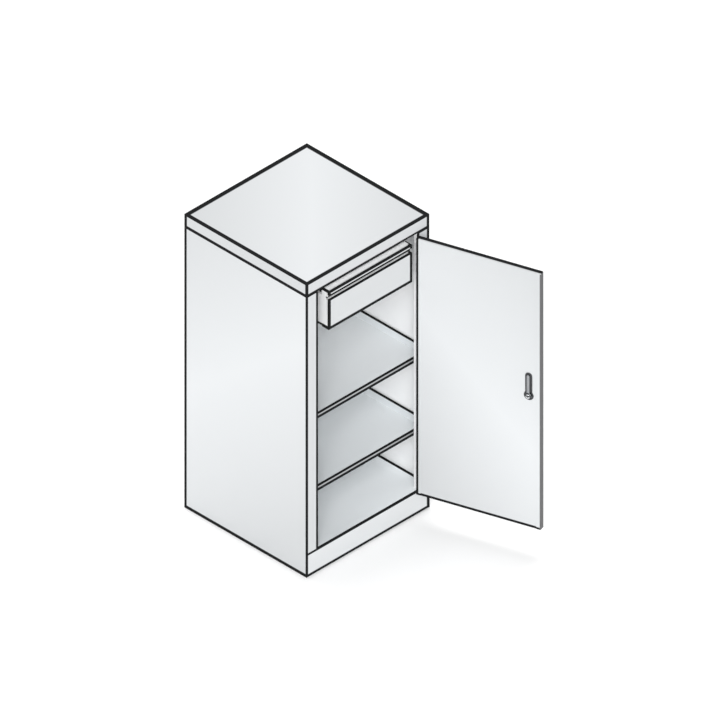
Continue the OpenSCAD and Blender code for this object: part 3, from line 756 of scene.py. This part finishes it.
def pan_screw(bm, fittings, place):
    """A pan-head screw with a cross recess"""
    radius, height, recess = fittings.screw_radius, fittings.screw_height, fittings.screw_recess
    dome = [(0, 1), (0.55, 1), (0.82, 0.93), (0.96, 0.78), (1, 0.66)]
    hollow = [(height, cross(recess, recess * 0.30)), (height * 0.35, cross(recess * 0.72, recess * 0.24))]
    turned(bm, [(height * up, radius * out) for up, out in dome] + hollow, 32, place)


def make_piece(name, bm, body, slot, place=Matrix(), sharp=30, material=None):
    """Ends a bmesh as a finished piece in its place, riding on its body; edges over sharp degrees
    stay sharp"""
    bmesh.ops.transform(bm, matrix=place, verts=bm.verts)
    bmesh.ops.remove_doubles(bm, verts=bm.verts, dist=TINY / 10)
    bmesh.ops.recalc_face_normals(bm, faces=bm.faces)
    mesh = bpy.data.meshes.new(name)
    bm.to_mesh(mesh)
    bm.free()
    mesh.shade_smooth()
    mesh.set_sharp_from_angle(angle=math.radians(sharp))
    mesh.materials.append(material or finish_for(slot))
    piece = bpy.data.objects.new(name, mesh)
    bpy.context.scene.collection.objects.link(piece)
    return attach(piece, body)


# Operators, one for each piece or group of like pieces

class CABINET_OT_body_sheets(bpy.types.Operator):
    """Coat the folded sheets of the body"""
    bl_idname = "cabinet.body_sheets"
    bl_label = "Body sheets"

    def execute(self, context):
        finish = context.scene.cabinet_finish
        inner = tuple(finish.coat_inside)
        low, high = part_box("top_cover")
        walls = (low.x, high.x), (low.y, high.y)
        coat_sheet("top_cover", painted_sheen=[(*COVER_BAND, (2, high.z))],
                   wide={"x0": 1.25, "x1": 2.3, "y0": 1.25, "y1": 2.3, "z0": 1.5, "z1": 1.15})
        # painted shadow: a dark line on the side panels just under the top's skirt
        under = (1, low.y, 2, low.z, 1.0)
        coat_sheet("left_side_panel", lining=(inner, walls), painted_sheen=[(*WALL_BAND, (0, low.x))],
                   folds=((0, low.x + POST, 1, low.y, 1.8), under, (0, low.x, 2, low.z, 1.0)),
                   wide={"x1": 0, "y1": 2.1, "z0": 2.5})
        coat_sheet("right_side_panel", lining=(inner, walls), painted_sheen=[(*WALL_BAND, (0, high.x))],
                   folds=((0, high.x - POST, 1, low.y, 1.0), (0, high.x, 1, low.y, 2.2), under,
                          (0, high.x, 2, low.z, 1.0)),
                   wide={"x0": 0, "z0": 2.5})
        # the plinth's coat is painted lighter than the body's, as painted light
        coat_sheet("plinth_frame", color=shade(finish.coat, PLINTH_SHADE),
                   wide={"x1": 2.2, "z0": 2.3, "z1": 1.55})
        low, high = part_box("back_panel")
        coat_sheet("back_panel", color=tuple(finish.coat),
                   lining=(inner, ((low.x, high.x), (high.y, high.y))))
        coat_nodes(["top_front_rail"])
        return {"FINISHED"}


class CABINET_OT_shelves(bpy.types.Operator):
    """Coat the floor panel and the two shelves"""
    bl_idname = "cabinet.shelves"
    bl_label = "Shelves"

    def execute(self, context):
        finish = context.scene.cabinet_finish
        coat, painted_light = tuple(finish.coat_shelf), tuple(finish.coat_glow)
        top = 2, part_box("floor_panel")[1].z
        # the floor panel is painted a shade darker, with painted light bands over it
        coat_sheet("floor_panel", color=shade(coat, FLOOR_SHADE), wide={"x1": 1.3, "y0": 0.5},
                   painted_sheen=[(*FLOOR_CROSS_BAND, top, painted_light), (*PLATE_BAND, top, painted_light)])
        for shelf in ("upper_shelf", "lower_shelf"):
            low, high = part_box(shelf)
            top = 2, low.z + SHELF_STRIP
            # shelves: painted shade on the front strips and plates, painted light on the rims and in bands over
            # the plates
            coat_sheet(shelf, folds=((1, low.y, *top, 0.8),), color=tuple(finish.coat_edge),
                       lining=(shade(coat, SHELF_RIM_SHADE), ((low.x, high.x), (low.y, high.y))),
                       painted_sheen=[(*WHOLE_PLATE, top, shade(coat, SHELF_SHADE)),
                              (*SHELF_CROSS_BAND, top, painted_light),
                              (*PLATE_BAND, top, shade(painted_light, SHELF_BAND_SHADE))],
                       wide={"x1": 1.8, "z0": 2.1, "z1": 1.8})
        return {"FINISHED"}


class CABINET_OT_body_rivets(bpy.types.Operator):
    """Rivet the back panel to the rear folds"""
    bl_idname = "cabinet.body_rivets"
    bl_label = "Body rivets"

    def execute(self, context):
        fittings = context.scene.cabinet_fittings
        low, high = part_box("left_side_panel")
        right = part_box("right_side_panel")[1].x
        lowest, highest = low.z + 0.05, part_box("top_cover")[0].z - 0.03
        bm = bmesh.new()
        for x in (low.x + fittings.rivet_inset, right - fittings.rivet_inset):
            for z in spread(lowest, highest, fittings.rivet_pitch):
                rivet(bm, fittings, facing((x, high.y, z), (0, 1, 0)))
        make_piece("back_rivets", bm, "cabinet", "zinc_plate")
        return {"FINISHED"}


class CABINET_OT_shelf_brackets(bpy.types.Operator):
    """Plate the shelf brackets and rivet them to the side panels"""
    bl_idname = "cabinet.shelf_brackets"
    bl_label = "Shelf brackets"

    def execute(self, context):
        fittings = context.scene.cabinet_fittings
        bm = bmesh.new()
        for name in ("upper_shelf_brackets", "lower_shelf_brackets"):
            coat_nodes([name])
            low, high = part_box(name)
            ends = {round(vert.co.y, 5) for vert in frame["nodes"][name].data.vertices}
            length = min(y for y in ends if y > low.y + 0.01) - low.y
            for y in (low.y + length / 2, high.y - length / 2):
                for x, out in ((low.x, 1), (high.x, -1)):
                    spot = (x + out * BRACKET_SHEET, y, low.z + BRACKET_RIVET)
                    rivet(bm, fittings, facing(spot, (out, 0, 0)))
        make_piece("bracket_rivets", bm, "cabinet", "zinc_plate")
        return {"FINISHED"}


class CABINET_OT_runners(bpy.types.Operator):
    """Plate the drawer's runners and coat their hangers"""
    bl_idname = "cabinet.runners"
    bl_label = "Runners"

    def execute(self, context):
        for name in ("left_runner_hanger", "right_runner_hanger"):
            give(name, finish_for("powder_coat_inner"))
        coat_nodes(["left_cabinet_rail", "right_cabinet_rail", "left_drawer_rail", "right_drawer_rail"])
        return {"FINISHED"}


class CABINET_OT_rollers(bpy.types.Operator):
    """Give the four rollers their nylon"""
    bl_idname = "cabinet.rollers"
    bl_label = "Rollers"

    def execute(self, context):
        coat_nodes(["front_left_roller", "front_right_roller", "rear_left_roller", "rear_right_roller"])
        return {"FINISHED"}


class CABINET_OT_drawer(bpy.types.Operator):
    """Coat the drawer"""
    bl_idname = "cabinet.drawer"
    bl_label = "Drawer"

    def execute(self, context):
        low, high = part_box("drawer_front")
        lip, groove, wall = high.z - GRIP_LIP, high.z - GROOVE_FLOOR, low.y + GROOVE_DEPTH
        # the drawer's lining is painted lighter than its front, as painted light on its end faces, top and box
        # where they lie in shade
        inner = shade(context.scene.cabinet_finish.coat_inside, DRAWER_SHADE)
        # painted shadow in the finger groove: dark lines under the lip and along the groove, and the groove's wall
        # painted darker
        lip_line, wall_line = lip + 0.002, groove + 0.0048
        dark = (0, 0, 1), groove + 0.005, 0.1, (1, wall), shade(inner, GROOVE_SHADE)
        coat_sheet("drawer_front", painted_sheen=[dark],
                   folds=((1, low.y, 2, lip_line, 0.55), (1, wall, 2, wall_line, 0.5),
                          (1, wall, 2, groove, 0.25), (1, low.y, 2, groove, 0.85),
                          (0, low.x, 1, low.y, 1.3), (0, high.x, 1, low.y, 1.8)),
                   lining=(inner, ((FAR, FAR), (low.y, low.y))), wide={"x1": 0.6, "y1": 0, "z0": 2.6})
        coat_sheet("drawer_box", color=inner, wide={"y0": 0, "z0": 1.8, "z1": 0})
        return {"FINISHED"}


class CABINET_OT_door(bpy.types.Operator):
    """Coat the door's skins and stiffener, and model the thin seal on its free edge"""
    bl_idname = "cabinet.door"
    bl_label = "Door"

    def execute(self, context):
        turn = door_turn()
        low, high = reach("door_outer_panel", turn)
        color = tuple(context.scene.cabinet_finish.coat_door)
        coat_sheet("door_outer_panel", turn=turn, color=color, painted_sheen=[(*DOOR_BAND, (1, high.y))],
                   folds=((0, high.x, 1, high.y, 1.5), (0, low.x, 1, low.y, 1.0),
                          (1, high.y, 2, low.z, 1.6)),
                   wide={"x0": 0, "y0": 1.8, "y1": 0, "z0": 1.8, "z1": 1.8})
        coat_sheet("door_inner_panel", turn=turn, color=color,
                   painted_sheen=[(*DOOR_BAND, (1, high.y - DOOR_SHEET))],
                   wide={"x0": 0, "x1": 0, "z0": 1.6, "z1": 0})
        coat_nodes(["door_stiffener"])
        proud, lap, soft = 0.0008, 0.0028, 0.0002
        bm = bmesh.new()
        strip = block(bm, (low.x - proud, low.y + DOOR_SHEET, low.z + DOOR_SHEET),
                      (low.x + lap, high.y + proud / 2, high.z - DOOR_SHEET))
        round_off(bm, list({edge for vert in strip for edge in vert.link_edges}), soft, 2)
        make_piece("door_edge_seal", bm, "door", "buffer_rubber", door_place(), material=rubber_seal())
        return {"FINISHED"}


class CABINET_OT_door_buffers(bpy.types.Operator):
    """Model the two domed rubber buffers that the door closes on"""
    bl_idname = "cabinet.door_buffers"
    bl_label = "Door buffers"

    def execute(self, context):
        low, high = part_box("door_buffers")
        radius = (high.z - low.z) / 2
        depth = high.y - low.y
        dome = [(0, 1), (0.35, 1), (0.6, 0.92), (0.85, 0.66), (1, 0.28)]
        rings = [(depth * up, radius * out) for up, out in dome]
        bm = bmesh.new()
        for x in (low.x + radius, high.x - radius):
            turned(bm, rings, 24, facing((x, high.y, (low.z + high.z) / 2), (0, -1, 0)))
        piece = make_piece("rubber_buffers", bm, "cabinet", "buffer_rubber")
        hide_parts("door_buffers")
        return {"FINISHED"}


class CABINET_OT_hinges(bpy.types.Operator):
    """Coat the hinge leaves, plate the pins and model the hinge screws"""
    bl_idname = "cabinet.hinges"
    bl_label = "Hinges"

    def execute(self, context):
        fittings = context.scene.cabinet_fittings
        coat_nodes(["upper_hinge_frame_leaf", "lower_hinge_frame_leaf", "upper_hinge_door_leaf",
                    "lower_hinge_door_leaf", "upper_hinge_pin", "lower_hinge_pin"])
        hinge = Vector(JOINTS["door_swing"]["pos_m"])
        outer, inner = 0.007, 0.015
        frame_bm, door_bm = bmesh.new(), bmesh.new()
        for leaf in ("upper_hinge_frame_leaf", "lower_hinge_frame_leaf"):
            low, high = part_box(leaf)
            face = high.y - HINGE_SHEET
            height = (high.z - low.z) / 3
            middle = (low.z + high.z) / 2
            width = high.x - hinge.x
            for inset, z in ((outer, height), (inner, 0), (outer, -height)):
                for side, bm, turn in ((1, frame_bm, Matrix()), (-1, door_bm, door_place())):
                    spot = (hinge.x + side * (width - inset), face, middle + z)
                    pan_screw(bm, fittings, turn @ facing(spot, (0, -1, 0)))
        screws = make_piece("frame_hinge_screws", frame_bm, "cabinet", "zinc_plate")
        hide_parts("hinge_frame_screws")
        screws = make_piece("door_hinge_screws", door_bm, "door", "zinc_plate")
        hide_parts("hinge_door_screws")
        return {"FINISHED"}


class CABINET_OT_turn_handle(bpy.types.Operator):
    """Model the turn handle: domed wing grip on a round hub, with a rim round its lock plug"""
    bl_idname = "cabinet.turn_handle"
    bl_label = "Turn handle"

    def execute(self, context):
        fittings = context.scene.cabinet_fittings
        low, high = lock_reach("turn_handle")
        width = 2 * lock_reach("turn_handle", high.y * 0.6)[1].x
        bm = bmesh.new()
        grip = block(bm, (-width / 2, low.y, high.z - fittings.grip_depth), (width / 2, high.y, high.z))
        round_ends(bm, grip, width)
        steps = 7
        for step in range(1 - steps, steps):
            bmesh.ops.bisect_plane(bm, geom=bm.verts[:] + bm.edges[:] + bm.faces[:],
                                   plane_co=(0, high.y * step / steps, 0), plane_no=(0, 1, 0))
        round_off(bm, sharp_rim(bm), fittings.handle_edge, 5)
        bow, front = high.y * 2.2, high.z - 0.009
        for vert in bm.verts:
            if vert.co.z > front:
                vert.co.z -= bow - math.sqrt(bow ** 2 - vert.co.y ** 2)
        hub, rim = fittings.hub_radius, fittings.plug_rim
        turned(bm, [(low.z, hub - 0.0008), (low.z + 0.0008, hub), (high.z - 0.012, hub),
                    (high.z - 0.0105, hub - 0.0007), (high.z - 0.0095, hub - 0.0020)], 48)
        turned(bm, [(high.z - 0.010, rim), (high.z + 0.00005, rim), (high.z + 0.0003, rim - 0.0004),
                    (high.z + 0.0003, rim - 0.0020), (high.z - 0.0004, rim - 0.0025)], 48)
        piece = make_piece("turn_handle_grip", bm, "handle", "black_nylon", lock_place(), sharp=40)
        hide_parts("turn_handle")
        return {"FINISHED"}


class CABINET_OT_lock_plug(bpy.types.Operator):
    """Model the lock plug: bevelled face with a keyway"""
    bl_idname = "cabinet.lock_plug"
    bl_label = "Lock plug"

    def execute(self, context):
        low, high = lock_reach("lock_plug")
        radius = (high.y - low.y) / 2
        keyway, face, floor = slit(radius * 0.58, radius * 0.10), high.z - 0.0002, high.z - 0.007
        bm = bmesh.new()
        turned(bm, [(low.z, radius), (high.z - 0.0005, radius), (high.z - 0.0001, radius * 0.94),
                    (high.z, radius * 0.88), (high.z, radius * 0.74), (face, radius * 0.70),
                    (face, keyway), (floor, keyway)], 64)
        piece = make_piece("lock_plug_face", bm, "lock_plug", "lock_chrome", lock_place())
        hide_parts("lock_plug")
        return {"FINISHED"}


class CABINET_OT_handle_rose(bpy.types.Operator):
    """Model the rose behind the turn handle with a soft edge"""
    bl_idname = "cabinet.handle_rose"
    bl_label = "Handle rose"

    def execute(self, context):
        low, high = lock_reach("handle_rose")
        radius = (high.y - low.y) / 2
        bm = bmesh.new()
        turned(bm, [(low.z, radius), (low.z + 0.0012, radius), (high.z - 0.0006, radius - 0.0007),
                    (high.z - 0.0001, radius - 0.0014), (high.z, radius - 0.0022), (high.z, ROSE_HOLE),
                    (high.z - 0.0004, ROSE_HOLE - 0.0008)], 64)
        piece = make_piece("handle_rose_cover", bm, "door", "black_nylon", lock_place())
        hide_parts("handle_rose")
        return {"FINISHED"}


class CABINET_OT_lock_case(bpy.types.Operator):
    """Model the lock case on the door's inner face: a plate with one round end, on a round hub"""
    bl_idname = "cabinet.lock_case"
    bl_label = "Lock case"

    def execute(self, context):
        low, high = lock_reach("lock_case")
        hub, soft = -low.y, 0.0006
        width = 2 * lock_reach("lock_case", hub * 1.2)[1].x
        bm = bmesh.new()
        plate = block(bm, (-width / 2, 0, low.z), (width / 2, high.y, high.z))
        round_ends(bm, plate, width, beyond=hub)
        round_off(bm, sharp_rim(bm, low.z + TINY), 0.0007, 3)
        turned(bm, [(high.z, hub), (low.z + soft, hub), (low.z, hub - soft), (low.z, CASE_HOLE),
                    (low.z + 0.0004, CASE_HOLE - 0.0004)], 64)
        piece = make_piece("lock_case_cover", bm, "door", "black_nylon", lock_place())
        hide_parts("lock_case")
        return {"FINISHED"}


class CABINET_OT_latch(bpy.types.Operator):
    """Model the latch cam, its washer and the slotted screw head on it, and plate the spindle"""
    bl_idname = "cabinet.latch"
    bl_label = "Latch cam and screw"

    def execute(self, context):
        finish = context.scene.cabinet_finish
        give("spindle", finish_for("black_zinc"))
        low, high = lock_reach("latch_cam")
        hub, soft = -low.y, 0.0005
        width = 2 * lock_reach("latch_cam", hub * 1.2)[1].x
        bm = bmesh.new()
        bar = block(bm, (-width / 2, 0, low.z), (width / 2, high.y, high.z - 0.0004))
        round_ends(bm, bar, width, beyond=hub, segments=10)
        round_off(bm, sharp_rim(bm), soft, 3)
        turned(bm, [(high.z, hub - soft), (high.z - soft, hub), (low.z + 0.0003, hub),
                    (low.z - 0.0002, hub - 0.0006)], 64)
        steel = zinc_plate("latch_steel", tuple(finish.latch_steel), finish)
        piece = make_piece("latch_cam_bar", bm, "handle", "zinc_plate", lock_place(), material=steel)
        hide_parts("latch_cam")

        low, high = lock_reach("cam_nut")
        bm = bmesh.new()
        turned(bm, [(high.z, hub - 0.0004), (high.z - soft, hub), (high.z - 0.0009, hub - 0.0001),
                    (high.z - 0.0011, hub - 0.0006)], 64)
        piece = make_piece("cam_washer", bm, "handle", "black_zinc", lock_place())
        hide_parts("cam_nut")

        bm = bmesh.new()
        radius, chamfer = hub * 0.74, 0.0006
        for side, away in ((SLOT_TOP, 1), (SLOT_FOOT, -1)):
            head = turned(bm, [(high.z - 0.0010, radius), (low.z + chamfer, radius),
                               (low.z, radius - chamfer)], 48)
            cut_off(bm, head, (0, side, 0), (0, away, 0))
        make_piece("cam_screw_head", bm, "handle", "zinc_plate", lock_place())
        return {"FINISHED"}


def broad_light(name, direction, strength, spread):
    """A light that fills a wide patch of the sky, as a large softbox far away does"""
    light = bpy.data.lights.new(name, "SUN")
    light.energy, light.angle = strength, spread
    lamp = bpy.data.objects.new(name, light)
    lamp.rotation_euler = Vector(direction).to_track_quat("Z", "Y").to_euler()
    bpy.context.scene.collection.objects.link(lamp)


class CABINET_OT_stage(bpy.types.Operator):
    """Make the pale floor, the soft light and the camera"""
    bl_idname = "cabinet.stage"
    bl_label = "Stage"

    def execute(self, context):
        studio = context.scene.cabinet_studio
        bm = bmesh.new()
        bmesh.ops.create_grid(bm, x_segments=4, y_segments=4, size=studio.floor_size / 2)
        mesh = bpy.data.meshes.new("studio_floor")
        bm.to_mesh(mesh)
        bm.free()
        finish = context.scene.cabinet_finish
        mesh.materials.append(studio_floor("studio_paper", tuple(studio.floor), finish))
        clearance = 0.0006
        mesh.transform(Matrix.Translation((0, 0, -clearance)))
        floor = bpy.data.objects.new("studio_floor", mesh)
        context.scene.collection.objects.link(floor)

        world = bpy.data.worlds.new("studio_dome")
        world.use_nodes = True
        dome = world.node_tree.nodes["Background"].inputs
        dome["Color"].default_value = (1, 1, 1, 1)
        dome["Strength"].default_value = studio.sky
        context.scene.world = world
        context.scene.view_settings.view_transform = "Standard"

        lights = {"key": (-0.60, -0.60, 0.57), "top": (0.15, 0.25, 1.0), "fill": (-0.6, -1.0, 0.15)}
        for light, direction in lights.items():
            broad_light(light + "_light", direction, getattr(studio, light), studio.spread)

        camera = bpy.data.cameras.new("camera")
        camera.type = "ORTHO"
        camera.ortho_scale = studio.view_width
        camera.clip_end = studio.distance * 10
        eye = bpy.data.objects.new("camera", camera)
        around, up = studio.azimuth, studio.elevation
        back = Vector((math.sin(around) * math.cos(up), -math.cos(around) * math.cos(up), math.sin(up)))
        eye.location = Vector(studio.target) + back * studio.distance
        eye.rotation_euler = (-back).to_track_quat("-Z", "Y").to_euler()
        context.scene.collection.objects.link(eye)
        context.scene.camera = eye
        return {"FINISHED"}


OPERATORS = (
    CABINET_OT_stage, CABINET_OT_body_sheets, CABINET_OT_shelves, CABINET_OT_body_rivets,
    CABINET_OT_shelf_brackets, CABINET_OT_runners, CABINET_OT_rollers, CABINET_OT_drawer, CABINET_OT_door,
    CABINET_OT_door_buffers, CABINET_OT_hinges, CABINET_OT_turn_handle, CABINET_OT_lock_plug,
    CABINET_OT_handle_rose, CABINET_OT_lock_case, CABINET_OT_latch,
)
GROUPS = {"cabinet_finish": CabinetFinish, "cabinet_fittings": CabinetFittings,
          "cabinet_studio": CabinetStudio}


class CABINET_PT_sidebar(bpy.types.Panel):
    """Lists the cabinet's sizes, colours and operators"""
    bl_label = "Steel storage cabinet"
    bl_idname = "CABINET_PT_sidebar"
    bl_space_type = "VIEW_3D"
    bl_region_type = "UI"
    bl_category = "Cabinet"

    def draw(self, context):
        for group in GROUPS:
            box = self.layout.box()
            settings = getattr(context.scene, group)
            for name in settings.__annotations__:
                box.prop(settings, name)
        for operator in OPERATORS:
            self.layout.operator(operator.bl_idname)


def register():
    for kind in (*GROUPS.values(), *OPERATORS, CABINET_PT_sidebar):
        bpy.utils.register_class(kind)
    for name, kind in GROUPS.items():
        setattr(bpy.types.Scene, name, bpy.props.PointerProperty(type=kind))


def unregister():
    for name in GROUPS:
        delattr(bpy.types.Scene, name)
    for kind in (CABINET_PT_sidebar, *OPERATORS[::-1], *GROUPS.values()):
        bpy.utils.unregister_class(kind)


def main():
    """Registers the classes and dresses the cabinet piece by piece"""
    register()
    bpy.ops.cabinet.stage()
    bpy.ops.cabinet.body_sheets()
    bpy.ops.cabinet.shelves()
    bpy.ops.cabinet.body_rivets()
    bpy.ops.cabinet.shelf_brackets()
    bpy.ops.cabinet.runners()
    bpy.ops.cabinet.rollers()
    bpy.ops.cabinet.drawer()
    bpy.ops.cabinet.door()
    bpy.ops.cabinet.door_buffers()
    bpy.ops.cabinet.hinges()
    bpy.ops.cabinet.turn_handle()
    bpy.ops.cabinet.lock_plug()
    bpy.ops.cabinet.handle_rose()
    bpy.ops.cabinet.lock_case()
    bpy.ops.cabinet.latch()


if __name__ == "__main__":
    main()
